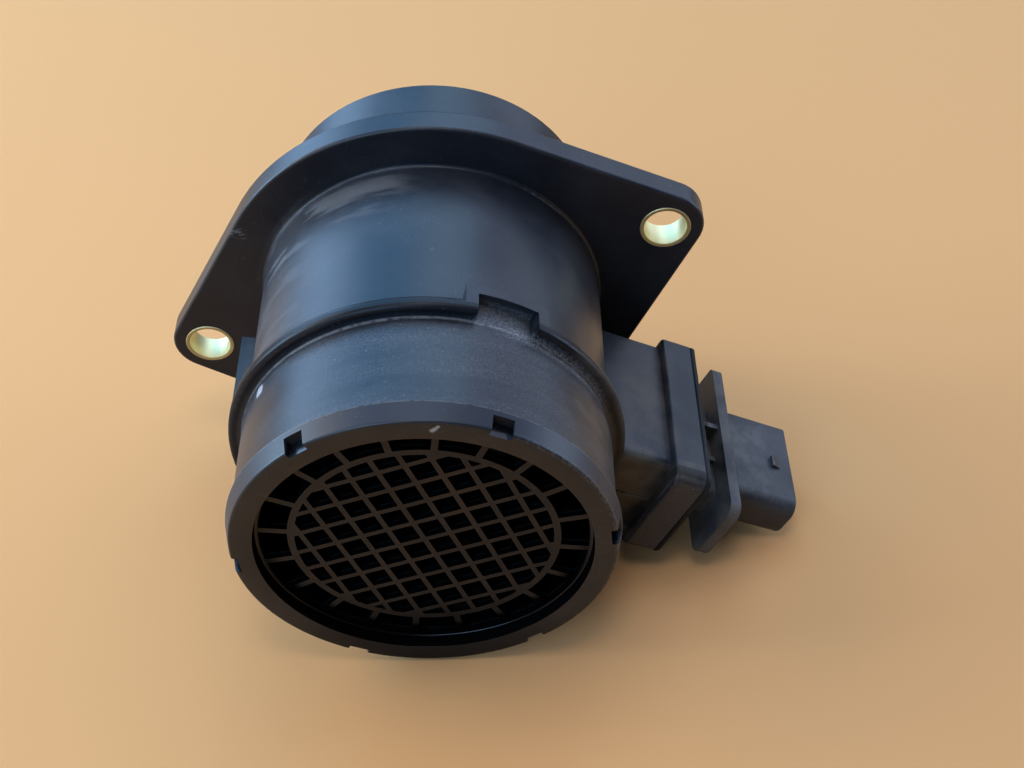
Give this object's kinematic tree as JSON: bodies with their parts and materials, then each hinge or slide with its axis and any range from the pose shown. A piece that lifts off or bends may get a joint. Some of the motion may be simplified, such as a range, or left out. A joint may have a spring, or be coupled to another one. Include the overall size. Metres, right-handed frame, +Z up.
{
  "type": "mass airflow sensor",
  "caption": "Plastic air measuring tube with a lattice end grille, a two-hole flange and a plug-in sensing module with a shrouded connector, for an engine's intake duct.",
  "frame": {"origin": "on the tube axis, in the plane of the flange face that seats on the air box", "axes": "+Y along the tube axis from the grille end to the flange spigot, +Z up as the sensor lies, +X to the connector's side"},
  "size_m": [0.1332, 0.0965, 0.0888],
  "materials": {
    "housing_plastic": "satin black glass-filled plastic, dusty",
    "grille_plastic": "matt black plastic, dusty",
    "module_plastic": "satin black plastic, dusty",
    "cover_plastic": "matt black plastic",
    "limiter_metal": "satin",
    "seal_rubber": "matt",
    "carrier_metal": "brushed",
    "board_ceramic": "matt hybrid board",
    "chip_silicon": "polished",
    "component_black": "matt",
    "capacitor_tan": "matt",
    "terminal_tin": "tinned",
    "bead_glass": "glossy dipped bead"
  },
  "bodies": {
    "root": {"housing": "housing_plastic", "end_grille": "grille_plastic", "limiter_upper": "limiter_metal", "limiter_lower": "limiter_metal", "flange_seal": "seal_rubber", "module_body": "module_plastic", "module_seal": "seal_rubber", "bypass_cover": "cover_plastic", "electronics_cover": "cover_plastic", "carrier_plate": "carrier_metal", "circuit_board": "board_ceramic", "sensor_chip": "chip_silicon", "asic": "component_black", "capacitor_1": "capacitor_tan", "capacitor_2": "capacitor_tan", "thermistor": "bead_glass", "terminal_1": "terminal_tin", "terminal_2": "terminal_tin", "terminal_3": "terminal_tin", "terminal_4": "terminal_tin", "terminal_5": "terminal_tin"}
  },
  "joints": []
}
